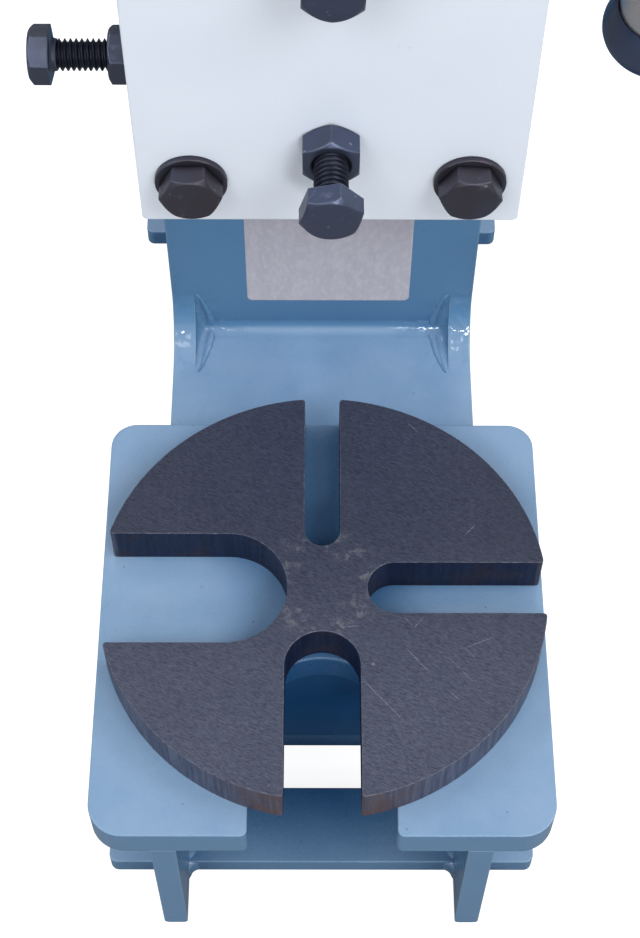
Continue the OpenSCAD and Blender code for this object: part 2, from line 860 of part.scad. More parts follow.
// one notch of the table plate, pointing along the given angle
module notch(angle, w, end) {
    translate([0, disc_y, table_z]) rotate([0, 0, angle]) {
        translate([end + w * half, 0, -past]) cylinder(h = disc_t + 2 * past, d = w);
        box([end + w * half, -w * half, -past], [disc_d, w * half, disc_t + past]);
    }
}

module table_plate() {
    color([0.3, 0.3, 0.34]) difference() {
        translate([0, disc_y, table_z]) cylinder(h = disc_t, r = disc_r, $fn = disc_facets);
        notch(0, notch_right_w, notch_right_end);
        notch(right_angle, notch_back_w, notch_back_end);
        notch(2 * right_angle, notch_left_w, notch_left_end);
        notch(3 * right_angle, notch_front_w, notch_front_end);
        translate([0, disc_y, table_z - past])
            cylinder(h = pivot_h + pivot_gap + past, d = pivot_d + 2 * turn_play);
    }
}

module pivot_pin() {
    color([0.6, 0.6, 0.63]) translate([0, disc_y, base_top]) cylinder(h = table_t + pivot_h, d = pivot_d);
}

left_side_plate();
right_side_plate();
column_web();
throat_web();
back_web();
arm_web();
crown_plate();
table_cross_web();
table();
front_foot();
rear_foot();
left_cheek();
right_cheek();
left_pad();
right_pad();
lower_rear_guide();
upper_rear_guide();
head_back_plate();
front_plate();
front_gib();
side_gib();
corner_bolts();
corner_washers();
lower_front_gib_screw();
upper_front_gib_screw();
front_gib_locknuts();
lower_side_gib_screw();
upper_side_gib_screw();
side_gib_locknuts();
side_gib_washers();
head_screws();
right_boss();
left_boss();
right_bush();
left_bush();
ram();
pinion_shaft();
keeper_washer();
keeper_bolt();
hub_lock_screw();
lever_bar();
lower_lever_cap();
upper_lever_cap();
table_plate();
pivot_pin();
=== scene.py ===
import json
import math
import bpy
from mathutils import Matrix, Vector


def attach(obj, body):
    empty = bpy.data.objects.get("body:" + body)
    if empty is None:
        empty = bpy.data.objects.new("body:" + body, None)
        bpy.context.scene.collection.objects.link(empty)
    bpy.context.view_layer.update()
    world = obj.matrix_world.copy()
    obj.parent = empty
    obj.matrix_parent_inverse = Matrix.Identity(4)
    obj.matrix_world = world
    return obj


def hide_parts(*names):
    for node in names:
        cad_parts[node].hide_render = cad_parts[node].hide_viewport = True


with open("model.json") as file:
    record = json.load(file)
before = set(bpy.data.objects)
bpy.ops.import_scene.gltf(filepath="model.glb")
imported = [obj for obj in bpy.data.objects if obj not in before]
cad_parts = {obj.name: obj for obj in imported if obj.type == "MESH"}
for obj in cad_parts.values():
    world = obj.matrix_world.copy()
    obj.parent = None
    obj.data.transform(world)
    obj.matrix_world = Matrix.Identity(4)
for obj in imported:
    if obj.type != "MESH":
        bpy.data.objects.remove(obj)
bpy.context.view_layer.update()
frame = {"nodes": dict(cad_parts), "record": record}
MM = 0.001
scene = bpy.context.scene


# Shader effects shared by the finishes

def socket(tree, name, way, kind, value=None):
    s = tree.interface.new_socket(name=name, in_out=way, socket_type="NodeSocket" + kind)
    if value is not None:
        s.default_value = value
    return s


def effect(name, inputs, outputs):
    tree = bpy.data.node_groups.new(name, "ShaderNodeTree")
    for label, kind, value in inputs:
        socket(tree, label, "INPUT", kind, value)
    for label, kind in outputs:
        socket(tree, label, "OUTPUT", kind)
    return tree, tree.nodes.new("NodeGroupInput"), tree.nodes.new("NodeGroupOutput")


def add(tree, kind, **sets):
    node = tree.nodes.new("ShaderNode" + kind)
    for key, value in sets.items():
        setattr(node, key, value)
    return node


def wire(tree, source, target):
    tree.links.new(source, target)


def feed(tree, target, value):
    """Wires a node's output to an input, or sets a plain value on it."""
    if hasattr(value, "is_linked"):
        wire(tree, value, target)
    else:
        target.default_value = value


def math_node(tree, operation, a, b=None, clamp=False):
    node = add(tree, "Math", operation=operation, use_clamp=clamp)
    feed(tree, node.inputs[0], a)
    if b is not None:
        feed(tree, node.inputs[1], b)
    return node.outputs[0]


def share(tree, mask, amount):
    return math_node(tree, "MULTIPLY", mask, amount)


def ramp(tree, value, low, high, to_low=0.0, to_high=1.0):
    node = add(tree, "MapRange", interpolation_type="SMOOTHSTEP")
    wire(tree, value, node.inputs["Value"])
    for label, number in (("From Min", low), ("From Max", high), ("To Min", to_low), ("To Max", to_high)):
        feed(tree, node.inputs[label], number)
    return node.outputs["Result"]


def between(tree, value, low, low_full, high_full, high):
    """Mask that is whole from low_full to high_full and gone outside low and high."""
    return share(tree, ramp(tree, value, low, low_full), ramp(tree, value, high_full, high, 1.0, 0.0))


MIX_FACTOR, MIX_A, MIX_B, MIX_RESULT = 0, 6, 7, 2   # sockets of a Mix node that is set to colour


def mix_colour(tree, factor, a, b, blend="MIX"):
    node = add(tree, "Mix", data_type="RGBA", blend_type=blend)
    for index, value in ((MIX_FACTOR, factor), (MIX_A, a), (MIX_B, b)):
        feed(tree, node.inputs[index], value)
    return node.outputs[MIX_RESULT]


def noise(tree, vector, scale, detail, rough, bend=0.0):
    node = add(tree, "TexNoise")
    wire(tree, vector, node.inputs["Vector"])
    for label, value in (("Scale", scale), ("Detail", detail), ("Roughness", rough), ("Distortion", bend)):
        feed(tree, node.inputs[label], value)
    return node.outputs["Fac"]


def stretched(tree, vector, scale, turn=(0.0, 0.0, 0.0)):
    node = add(tree, "Mapping")
    wire(tree, vector, node.inputs["Vector"])
    node.inputs["Scale"].default_value = scale
    node.inputs["Rotation"].default_value = turn
    return node.outputs["Vector"]


def axes(tree, vector):
    node = add(tree, "SeparateXYZ")
    wire(tree, vector, node.inputs[0])
    return [node.outputs[axis] for axis in "XYZ"]


def upward(tree):
    """Upward part of the surface normal."""
    return axes(tree, add(tree, "NewGeometry").outputs["Normal"])[2]


def distance(tree, vector, point):
    node = add(tree, "VectorMath", operation="DISTANCE")
    wire(tree, vector, node.inputs[0])
    node.inputs[1].default_value = point
    return node.outputs["Value"]


def edge_effect():
    """Rounded edges and a mask of them."""
    tree, inp, out = effect("rounded_edge", [("Radius", "Float", 0.0008), ("Strength", "Float", 1.0)],
                            [("Mask", "Float"), ("Normal", "Vector")])
    bevel = add(tree, "Bevel", samples=6)
    wire(tree, inp.outputs["Radius"], bevel.inputs["Radius"])
    geo = add(tree, "NewGeometry")
    dot = add(tree, "VectorMath", operation="DOT_PRODUCT")
    wire(tree, bevel.outputs["Normal"], dot.inputs[0])
    wire(tree, geo.outputs["Normal"], dot.inputs[1])
    bent = math_node(tree, "SUBTRACT", 1.0, dot.outputs["Value"])
    mask = ramp(tree, bent, 0.015, 0.16)
    wire(tree, share(tree, mask, inp.outputs["Strength"]), out.inputs["Mask"])
    wire(tree, bevel.outputs["Normal"], out.inputs["Normal"])
    return tree


def paint_effect():
    """Orange peel height, sparse specks and slow changes of tone in a paint film."""
    tree, inp, out = effect("paint_film", [("Vector", "Vector", None), ("Peel", "Float", 260.0),
                                          ("Speck Size", "Float", 420.0), ("Speck Share", "Float", 0.978)],
                            [("Height", "Float"), ("Specks", "Float"), ("Tone", "Float"), ("Grain", "Float")])
    v = inp.outputs["Vector"]
    wire(tree, noise(tree, v, inp.outputs["Peel"], 2.0, 0.45), out.inputs["Height"])
    cell = add(tree, "TexVoronoi", feature="F1")
    wire(tree, v, cell.inputs["Vector"])
    wire(tree, inp.outputs["Speck Size"], cell.inputs["Scale"])
    dot = ramp(tree, cell.outputs["Distance"], 0.10, 0.22, 1.0, 0.0)
    pick = add(tree, "SeparateColor")
    wire(tree, cell.outputs["Color"], pick.inputs["Color"])
    limit = inp.outputs["Speck Share"]
    rare = ramp(tree, pick.outputs[0], limit, math_node(tree, "ADD", limit, 0.012))
    wire(tree, share(tree, dot, rare), out.inputs["Specks"])
    wire(tree, noise(tree, v, 14.0, 3.0, 0.6), out.inputs["Tone"])
    wire(tree, noise(tree, v, 1500.0, 2.0, 0.6), out.inputs["Grain"])
    return tree


def film_sheen_shade_effect():
    """Masks of the pale film on faces open to above, which is partly dust and partly painted sheen, and of
    sheltered places, where shade is painted in as deeper paint.
    """
    tree, inp, out = effect("pale_film_sheen_and_shade", [("Vector", "Vector", None), ("Amount", "Float", 0.1)],
                            [("Mask", "Float"), ("Painted Shade", "Float")])
    level = ramp(tree, upward(tree), 0.35, 0.95)
    patchy = ramp(tree, noise(tree, inp.outputs["Vector"], 30.0, 4.0, 0.6), 0.25, 0.75, 0.8, 1.2)
    shelter = add(tree, "AmbientOcclusion", samples=12)
    shelter.inputs["Distance"].default_value = 0.12
    open_air = ramp(tree, shelter.outputs["AO"], 0.24, 0.46)
    # painted shade: places that ambient occlusion finds sheltered
    wire(tree, ramp(tree, shelter.outputs["AO"], 0.22, 0.38, 1.0, 0.0), out.inputs["Painted Shade"])
    # upward faces open to above get a pale film, partly dust and partly painted sheen
    amount = share(tree, share(tree, level, open_air), inp.outputs["Amount"])
    wire(tree, share(tree, amount, patchy), out.inputs["Mask"])
    return tree


def groove_shade_effect():
    """Mask of narrow grooves and corners, darkened partly as oil and dirt and partly as painted shade."""
    tree, inp, out = effect("groove_shade_and_dirt", [("Reach", "Float", 0.0015)], [("Mask", "Float")])
    shelter = add(tree, "AmbientOcclusion", samples=8)
    wire(tree, inp.outputs["Reach"], shelter.inputs["Distance"])
    wire(tree, ramp(tree, shelter.outputs["AO"], 0.4, 0.92, 1.0, 0.0), out.inputs["Mask"])
    return tree


def grain_effect():
    """Fine lines along one direction, slow clouds and a fine mottle."""
    tree, inp, out = effect("ground_lines", [("Vector", "Vector", None)],
                            [("Lines", "Float"), ("Clouds", "Float"), ("Mottle", "Float")])
    v = inp.outputs["Vector"]
    fine = noise(tree, stretched(tree, v, (1500.0, 26.0, 26.0)), 1.0, 3.0, 0.6)
    wide = noise(tree, stretched(tree, v, (420.0, 9.0, 9.0)), 1.0, 2.0, 0.5)
    both = math_node(tree, "ADD", share(tree, fine, 0.6), share(tree, wide, 0.4))
    wire(tree, both, out.inputs["Lines"])
    wire(tree, noise(tree, v, 22.0, 4.0, 0.62), out.inputs["Clouds"])
    wire(tree, noise(tree, v, 300.0, 4.0, 0.65), out.inputs["Mottle"])
    return tree


def stroke_effect():
    """Short wavy strokes of a sanding pad along X."""
    tree, inp, out = effect("sanding_strokes", [("Vector", "Vector", None)],
                            [("Strokes", "Float"), ("Clouds", "Float")])
    v = inp.outputs["Vector"]
    fine = noise(tree, stretched(tree, v, (620.0, 2900.0, 620.0)), 1.0, 2.0, 0.5, 0.9)
    wide = noise(tree, stretched(tree, v, (330.0, 1800.0, 330.0)), 1.0, 2.0, 0.5, 0.7)
    wire(tree, share(tree, math_node(tree, "ADD", fine, wide), 0.5), out.inputs["Strokes"])
    wire(tree, noise(tree, v, 26.0, 4.0, 0.6), out.inputs["Clouds"])
    return tree


def scratch_effect():
    """One scratch between two points, seen from above, thinning out at its ends."""
    tree, inp, out = effect("scratch_line", [("Vector", "Vector", None), ("Start", "Vector", None),
                                            ("End", "Vector", None), ("Width", "Float", 0.0002)],
                            [("Mask", "Float")])
    width = inp.outputs["Width"]

    def vec(operation, a, b=None):
        node = add(tree, "VectorMath", operation=operation)
        wire(tree, a, node.inputs[0])
        if b is not None:
            wire(tree, b, node.inputs[1])
        return node

    level = add(tree, "VectorMath", operation="MULTIPLY")
    wire(tree, inp.outputs["Vector"], level.inputs[0])
    level.inputs[1].default_value = (1.0, 1.0, 0.0)
    from_start = vec("SUBTRACT", level.outputs[0], inp.outputs["Start"]).outputs[0]
    run = vec("SUBTRACT", inp.outputs["End"], inp.outputs["Start"]).outputs[0]
    along = math_node(tree, "DIVIDE", vec("DOT_PRODUCT", from_start, run).outputs["Value"],
                      vec("DOT_PRODUCT", run, run).outputs["Value"], True)
    foot = add(tree, "VectorMath", operation="SCALE")
    wire(tree, run, foot.inputs[0])
    wire(tree, along, foot.inputs["Scale"])
    away = vec("LENGTH", vec("SUBTRACT", from_start, foot.outputs[0]).outputs[0]).outputs["Value"]
    near = ramp(tree, away, share(tree, width, 0.22), width, 1.0, 0.0)
    ends = share(tree, ramp(tree, along, 0.0, 0.2, 0.35, 1.0), ramp(tree, along, 0.7, 1.0, 1.0, 0.25))
    worn = ramp(tree, noise(tree, inp.outputs["Vector"], 700.0, 2.0, 0.5), 0.35, 0.6, 0.25, 1.0)
    wire(tree, share(tree, share(tree, near, ends), worn), out.inputs["Mask"])
    return tree


EDGE = edge_effect()
PAINT = paint_effect()
FILM_SHEEN_SHADE = film_sheen_shade_effect()
GROOVE_SHADE = groove_shade_effect()
GRAIN = grain_effect()
STROKES = stroke_effect()
SCRATCH = scratch_effect()


# Finishes

# pale film on upward faces: partly dust, partly painted sheen
PALE_FILM_AND_SHEEN = (0.85, 0.9, 1.0, 1)
SPECK = (0.03, 0.05, 0.08, 1.0)
FRAME_BLUE, FRAME_DEEP = (0.090, 0.215, 0.385, 1), (0.081, 0.199, 0.364, 1)
THROAT_CORNER = (0.0, 0.037, 0.106)   # middle of the room that the throat welds surround, in metres


def finish_start(name):
    mat = bpy.data.materials.new(name)
    mat.use_nodes = True
    tree = mat.node_tree
    coords = add(tree, "TexCoord").outputs["Object"]
    return mat, tree, tree.nodes["Principled BSDF"], coords


def place(tree, group, coords=None, **values):
    node = tree.nodes.new("ShaderNodeGroup")
    node.node_tree = group
    if coords is not None:
        wire(tree, coords, node.inputs["Vector"])
    for label, value in values.items():
        node.inputs[label.replace("_", " ")].default_value = value
    return node


def bump(tree, height, strength, distance, normal=None):
    node = add(tree, "Bump")
    wire(tree, height, node.inputs["Height"])
    node.inputs["Strength"].default_value = strength
    node.inputs["Distance"].default_value = distance
    if normal is not None:
        wire(tree, normal, node.inputs["Normal"])
    return node.outputs["Normal"]


def dress(tree, bsdf, colour, rough, normal):
    wire(tree, colour, bsdf.inputs["Base Color"])
    wire(tree, rough, bsdf.inputs["Roughness"])
    wire(tree, normal, bsdf.inputs["Normal"])


def weld_zone(tree, coords, start, full):
    """Mask of the steel beside the throat welds, where the paint lies uneven and glossy."""
    outward = ramp(tree, math_node(tree, "ABSOLUTE", axes(tree, coords)[0]), start, full)
    off = distance(tree, stretched(tree, coords, (0.0, 1.0, 1.0)), THROAT_CORNER)
    return share(tree, outward, ramp(tree, off, 0.016, 0.028, 1.0, 0.0))


def glossy_lumps(tree, coords, zone, rough, face):
    """Roughness and normal of thick paint inside a zone."""
    rough = share(tree, rough, math_node(tree, "SUBTRACT", 1.0, share(tree, zone, 0.72)))
    lumps = math_node(tree, "SUBTRACT", noise(tree, coords, 150.0, 1.5, 0.5), 0.5)
    return rough, bump(tree, share(tree, lumps, share(tree, zone, zone)), 1.0, 0.0009, face)


def under_table_shade(tree, coords):
    """Mask of the room under the table, where shade is painted in as a deep blue."""
    x, y, z = axes(tree, coords)
    across = ramp(tree, math_node(tree, "ABSOLUTE", x), 0.03, 0.06, 1.0, 0.0)
    inside = share(tree, across, between(tree, y, -0.215, -0.195, -0.075, -0.05))
    below_top, above_foot = ramp(tree, z, 0.1125, 0.1148, 1.0, 0.35), ramp(tree, z, 0.0122, 0.0134)
    return share(tree, inside, share(tree, below_top, above_foot))


def enamel(name, colour, deep, light, film_and_sheen_amount, rough, peel, relief, radius, speck_share=0.978,
           painted_shade_colour=None, welds=False):
    """Painted steel: peel, specks, a pale film on top that is partly dust and partly painted sheen, thin
    highlights painted on the rounded edges.

    The colour given for sheltered places and the room under the table is painted shade; welds adds the glossy
    paint beside the throat welds.
    """
    mat, tree, bsdf, coords = finish_start(name)
    film = place(tree, PAINT, coords, Peel=peel, Speck_Share=speck_share)
    edge = place(tree, EDGE, Radius=radius)
    film_shade = place(tree, FILM_SHEEN_SHADE, coords, Amount=film_and_sheen_amount)
    tone = ramp(tree, film.outputs["Tone"], 0.3, 0.7)
    base = mix_colour(tree, tone, deep, colour)
    base = mix_colour(tree, ramp(tree, film.outputs["Grain"], 0.3, 0.7, 0.0, 0.07), base, light)
    # pale film on faces open to above: partly dust, partly painted sheen
    base = mix_colour(tree, film_shade.outputs["Mask"], base, PALE_FILM_AND_SHEEN)
    base = mix_colour(tree, share(tree, film.outputs["Specks"], 0.6), base, SPECK)
    # painted highlight: the rounded edges are lightened
    base = mix_colour(tree, share(tree, edge.outputs["Mask"], 0.55), base, light)
    # painted shade: sheltered places and the room under the table get a deep blue
    if painted_shade_colour:
        painted_shade = math_node(tree, "MAXIMUM", film_shade.outputs["Painted Shade"], under_table_shade(tree, coords))
        base = mix_colour(tree, share(tree, painted_shade, 0.92), base, painted_shade_colour)
    even = ramp(tree, film.outputs["Tone"], 0.2, 0.8, rough - 0.04, rough + 0.06)
    face = bump(tree, film.outputs["Height"], relief, 0.0004, edge.outputs["Normal"])
    if welds:
        even, face = glossy_lumps(tree, coords, weld_zone(tree, coords, 0.046, 0.054), even, face)
    dress(tree, bsdf, base, even, face)
    bsdf.inputs["Specular IOR Level"].default_value = 0.4
    return mat


def seam_enamel(name, relief, rough, gloss):
    """The same paint over a weld, lumpy or smooth."""
    mat, tree, bsdf, coords = finish_start(name)
    film = place(tree, PAINT, coords, Peel=520.0, Speck_Share=0.975)
    film_shade = place(tree, FILM_SHEEN_SHADE, coords, Amount=0.1)
    base = mix_colour(tree, ramp(tree, film.outputs["Tone"], 0.3, 0.7), FRAME_DEEP, FRAME_BLUE)
    # pale film on faces open to above: partly dust, partly painted sheen
    base = mix_colour(tree, film_shade.outputs["Mask"], base, PALE_FILM_AND_SHEEN)
    base = mix_colour(tree, share(tree, film.outputs["Specks"], 0.5), base, SPECK)
    even = ramp(tree, film.outputs["Tone"], 0.2, 0.8, rough - 0.03, rough + 0.05)
    face = bump(tree, film.outputs["Height"], relief, 0.0006)
    even, face = glossy_lumps(tree, coords, weld_zone(tree, coords, 0.026, 0.048), even, face)
    dress(tree, bsdf, base, even, face)
    bsdf.inputs["Specular IOR Level"].default_value = gloss
    return mat


def black_oxide(name, blue_black, brown_black, worn, rough, radius):
    """Blackened steel, partly gone brown, with a fine mottle, small nicks, edges lightened partly by wear and
    partly as painted highlight, and grooves and threads darkened partly by oil and partly as painted shade.
    """
    mat, tree, bsdf, coords = finish_start(name)
    grain = place(tree, GRAIN, coords)
    edge = place(tree, EDGE, Radius=radius)
    base = mix_colour(tree, ramp(tree, grain.outputs["Clouds"], 0.44, 0.58), blue_black, brown_black)
    base = mix_colour(tree, share(tree, ramp(tree, grain.outputs["Mottle"], 0.58, 0.78), 0.22), base, worn)
    nicks = ramp(tree, noise(tree, coords, 520.0, 2.0, 0.5), 0.70, 0.76)
    base = mix_colour(tree, share(tree, nicks, 0.6), base, worn)
    rubbed = ramp(tree, grain.outputs["Mottle"], 0.35, 0.6, 0.25, 0.8)
    # edges lightened, partly wear and partly painted highlight
    base = mix_colour(tree, share(tree, edge.outputs["Mask"], rubbed), base, worn)
    # grooves and the threads darkened, partly oil and partly painted shade
    groove_dark = place(tree, GROOVE_SHADE).outputs["Mask"]
    thread_dark = add(tree, "Attribute", attribute_name="thread_dark").outputs["Fac"]
    oil_and_shade = math_node(tree, "MAXIMUM", share(tree, groove_dark, 0.8), share(tree, thread_dark, 0.9))
    base = mix_colour(tree, oil_and_shade, base, (0.012, 0.014, 0.028, 1.0))
    bsdf.inputs["Metallic"].default_value = 0.7
    dress(tree, bsdf, base, ramp(tree, grain.outputs["Mottle"], 0.3, 0.7, rough - 0.06, rough + 0.1),
          bump(tree, grain.outputs["Mottle"], 0.16, 0.0002, edge.outputs["Normal"]))
    return mat


def ground_steel(name, colour, dark, rough, radius, turn=(0.0, 0.0, 0.0), lines=0.22):
    """Ground or turned bright steel with lines along one direction."""
    mat, tree, bsdf, coords = finish_start(name)
    grain = place(tree, GRAIN, stretched(tree, coords, (1.0, 1.0, 1.0), turn))
    edge = place(tree, EDGE, Radius=radius)
    base = mix_colour(tree, ramp(tree, grain.outputs["Lines"], 0.35, 0.65), dark, colour)
    base = mix_colour(tree, share(tree, ramp(tree, grain.outputs["Clouds"], 0.52, 0.75), 0.35), base, dark)
    # painted highlight: the rounded edges are lightened
    base = mix_colour(tree, share(tree, edge.outputs["Mask"], 0.4), base, (0.82, 0.82, 0.85, 1.0))
    bsdf.inputs["Metallic"].default_value = 0.85
    dress(tree, bsdf, base, ramp(tree, grain.outputs["Lines"], 0.3, 0.7, rough - 0.06, rough + 0.08),
          bump(tree, grain.outputs["Lines"], lines, 0.0002, edge.outputs["Normal"]))
    return mat


def ram_steel(name):
    """The ram: dull ground steel, mottled, with soft streaks up and down."""
    mat, tree, bsdf, coords = finish_start(name)
    grain = place(tree, GRAIN, coords)
    edge = place(tree, EDGE, Radius=0.0006)
    streak = noise(tree, stretched(tree, coords, (260.0, 260.0, 24.0)), 1.0, 3.0, 0.6)
    base = mix_colour(tree, ramp(tree, streak, 0.3, 0.7), (0.455, 0.46, 0.55, 1.0), (0.49, 0.495, 0.59, 1.0))
    fleck = noise(tree, stretched(tree, coords, (900.0, 900.0, 420.0)), 1.0, 3.0, 0.65)
    base = mix_colour(tree, share(tree, ramp(tree, fleck, 0.4, 0.7), 0.5), base, (0.59, 0.595, 0.68, 1.0))
    clouds = share(tree, ramp(tree, grain.outputs["Clouds"], 0.5, 0.75), 0.25)
    base = mix_colour(tree, clouds, base, (0.34, 0.335, 0.38, 1.0))
    # painted highlight: the rounded edges are lightened
    base = mix_colour(tree, share(tree, edge.outputs["Mask"], 0.35), base, (0.7, 0.7, 0.74, 1.0))
    bsdf.inputs["Metallic"].default_value = 0.35
    dress(tree, bsdf, base, ramp(tree, grain.outputs["Mottle"], 0.3, 0.7, 0.5, 0.66),
          bump(tree, streak, 0.12, 0.0002, edge.outputs["Normal"]))
    return mat


# start, end and width in mm of the larger scratches and nicks on the round plate
SCRATCHES = (((17.2, -169.5), (36.8, -191.4), 0.22), ((61.8, -154.6), (74.4, -149.2), 0.22),
             ((61.8, -154.6), (66.0, -159.4), 0.22), ((36.0, -154.3), (47.5, -168.1), 0.22),
             ((53.5, -158.1), (65.5, -171.5), 0.22), ((55.1, -175.9), (58.4, -178.9), 0.22),
             ((35.7, -139.5), (40.0, -144.8), 0.22), ((40.0, -144.8), (44.2, -139.8), 0.22),
             ((7.6, -144.8), (17.2, -143.7), 0.22), ((63.8, -98.6), (68.9, -93.2), 0.32),
             ((39.6, -38.9), (44.9, -44.2), 0.22), ((21.6, -162.0), (22.2, -162.7), 1.2),
             ((-22.4, -217.8), (-22.3, -218.2), 0.7))
PLATE_MIDDLE, SCUFF_MIDDLE = (0.0, -0.125, 0.0), (0.0, -0.123, 0.0)   # in metres


def brushed_black(name):
    """The round table plate: blackened, sanded on the slant, scratched in use, dark streaked walls, painted
    shade that darkens it towards the back, and edges lightened partly by chips and partly as painted
    highlight.
    """
    mat, tree, bsdf, coords = finish_start(name)
    pad = place(tree, STROKES, stretched(tree, coords, (1.0, 1.0, 1.0), (0.0, 0.0, math.radians(25.5))))
    edge = place(tree, EDGE, Radius=0.0008)
    depth = axes(tree, coords)[1]
    strokes = ramp(tree, pad.outputs["Strokes"], 0.36, 0.64)
    base = mix_colour(tree, strokes, (0.036, 0.042, 0.069, 1), (0.080, 0.089, 0.132, 1))
    clouds = share(tree, ramp(tree, pad.outputs["Clouds"], 0.45, 0.75), 0.22)
    base = mix_colour(tree, clouds, base, (0.024, 0.030, 0.056, 1))
    # painted shade: the plate darkens towards the back
    back_shade = ramp(tree, depth, -0.195, -0.085, 0.0, 0.62)
    base = mix_colour(tree, back_shade, base, (0.26, 0.30, 0.40, 1), "MULTIPLY")

    flat = stretched(tree, coords, (1.0, 1.0, 0.0))
    ring = between(tree, distance(tree, flat, SCUFF_MIDDLE), 0.010, 0.018, 0.020, 0.031)
    rubbed = ramp(tree, noise(tree, coords, 170.0, 5.0, 0.7), 0.5, 0.68)
    scuff = share(tree, ring, rubbed)
    base = mix_colour(tree, share(tree, scuff, 0.65), base, (0.15, 0.155, 0.175, 1))

    wall = ramp(tree, math_node(tree, "ABSOLUTE", upward(tree)), 0.2, 0.6, 1.0, 0.0)
    streak = noise(tree, stretched(tree, coords, (620.0, 620.0, 26.0)), 1.0, 3.0, 0.6)
    streaks = ramp(tree, streak, 0.35, 0.65)
    notch = mix_colour(tree, streaks, (0.003, 0.007, 0.030, 1), (0.007, 0.014, 0.050, 1))
    rim = mix_colour(tree, streaks, (0.036, 0.044, 0.085, 1), (0.085, 0.098, 0.155, 1))
    side = mix_colour(tree, ramp(tree, distance(tree, flat, PLATE_MIDDLE), 0.096, 0.0985), notch, rim)
    burnt = share(tree, ramp(tree, noise(tree, coords, 60.0, 3.0, 0.6), 0.48, 0.62),
                  ramp(tree, depth, -0.170, -0.150))
    side = mix_colour(tree, share(tree, burnt, 0.4), side, (0.028, 0.016, 0.018, 1))
    rust = share(tree, ramp(tree, depth, -0.222, -0.210, 1.0, 0.0),
                 ramp(tree, noise(tree, coords, 120.0, 3.0, 0.6), 0.4, 0.6, 0.3, 1.0))
    side = mix_colour(tree, share(tree, rust, 0.75), side, (0.085, 0.050, 0.048, 1))
    base = mix_colour(tree, wall, base, side)

    marks = None
    for start, end, width in SCRATCHES:
        line = place(tree, SCRATCH, coords, Width=width * MM, Start=(start[0] * MM, start[1] * MM, 0.0),
                     End=(end[0] * MM, end[1] * MM, 0.0)).outputs["Mask"]
        marks = line if marks is None else math_node(tree, "MAXIMUM", marks, line)
    marks = share(tree, marks, math_node(tree, "SUBTRACT", 1.0, wall))
    base = mix_colour(tree, share(tree, marks, 0.55), base, (0.26, 0.27, 0.30, 1))
    # edges lightened, partly chips and partly painted highlight
    chip_and_highlight_mask = ramp(tree, noise(tree, coords, 420.0, 3.0, 0.6), 0.4, 0.65, 0.2, 1.0)
    base = mix_colour(tree, share(tree, edge.outputs["Mask"], chip_and_highlight_mask), base, (0.30, 0.31, 0.36, 1))
    bsdf.inputs["Specular IOR Level"].default_value = 0.25
    dress(tree, bsdf, base, ramp(tree, pad.outputs["Strokes"], 0.3, 0.7, 0.40, 0.54),
          bump(tree, pad.outputs["Strokes"], 0.12, 0.0002, edge.outputs["Normal"]))
    return mat


def moulded_cap(name):
    """Blue black plastic of the lever's end caps."""
    mat, tree, bsdf, coords = finish_start(name)
    film = place(tree, PAINT, coords, Peel=600.0)
    tone = ramp(tree, film.outputs["Tone"], 0.3, 0.7)
    base = mix_colour(tree, tone, (0.022, 0.036, 0.084, 1.0), (0.036, 0.056, 0.118, 1.0))
    dress(tree, bsdf, base, ramp(tree, film.outputs["Tone"], 0.2, 0.8, 0.24, 0.34),
          bump(tree, film.outputs["Height"], 0.06, 0.0002))
    return mat


BLUE = enamel("frame_enamel", FRAME_BLUE, FRAME_DEEP, (0.3, 0.46, 0.62, 1), film_and_sheen_amount=0.125, rough=0.24,
              peel=240.0, relief=0.2, radius=0.0014, painted_shade_colour=(0.006, 0.076, 0.220, 1), welds=True)
SEAM = seam_enamel("seam_enamel", relief=0.3, rough=0.22, gloss=0.9)
HOLLOW = seam_enamel("hollow_enamel", relief=0.2, rough=0.44, gloss=0.5)
WHITE = enamel("head_enamel", (0.72, 0.785, 0.885, 1), (0.685, 0.75, 0.85, 1), (0.82, 0.86, 0.92, 1),
               film_and_sheen_amount=0.1, rough=0.42, peel=420.0, relief=0.12, radius=0.0008, speck_share=0.992)
BLACK = black_oxide("black_oxide", (0.060, 0.076, 0.128, 1), (0.056, 0.064, 0.098, 1), (0.30, 0.33, 0.41, 1),
                    rough=0.34, radius=0.0006)
BOLT = black_oxide("bolt_oxide", (0.052, 0.057, 0.086, 1), (0.052, 0.047, 0.063, 1), (0.22, 0.22, 0.27, 1),
                   rough=0.4, radius=0.0005)
PLATE = brushed_black("plate_black")
RAM = ram_steel("ram_ground")
GUIDE = ground_steel("guide_milled", (0.5, 0.5, 0.52, 1), (0.38, 0.38, 0.4, 1), rough=0.42, radius=0.0008)
BAR = ground_steel("lever_turned", (0.58, 0.58, 0.61, 1), (0.54, 0.54, 0.57, 1), rough=0.3, radius=0.0008,
                   turn=(0.0, 1.5708, 0.0), lines=0.06)
BRASS = ground_steel("gib_brass", (0.6, 0.42, 0.18, 1), (0.5, 0.34, 0.13, 1), rough=0.38, radius=0.0006)
CAP = moulded_cap("cap_black")
FINISH = {"frame_blue": BLUE, "head_white": WHITE, "black_steel": BLACK, "plate_black": PLATE,
          "ram_steel": RAM, "guide_steel": GUIDE, "lever_steel": BAR, "gib_brass": BRASS,
          "bush_brass": BRASS, "cap_black": CAP}

slots = {s["node"]: s["material_slot"] for s in frame["record"]["subparts"]}
for name, obj in frame["nodes"].items():
    obj.data.materials.clear()
    obj.data.materials.append(FINISH[slots[name]])


# Pieces modelled one by one

MERGE_GAP = 1e-6    # metres between points that are one
WIDE_GAP = 2e-5     # the same after a boolean, which leaves slivers


def unselect():
    bpy.ops.object.select_all(action="DESELECT")


def only(obj):
    unselect()
    obj.select_set(True)
    bpy.context.view_layer.objects.active = obj


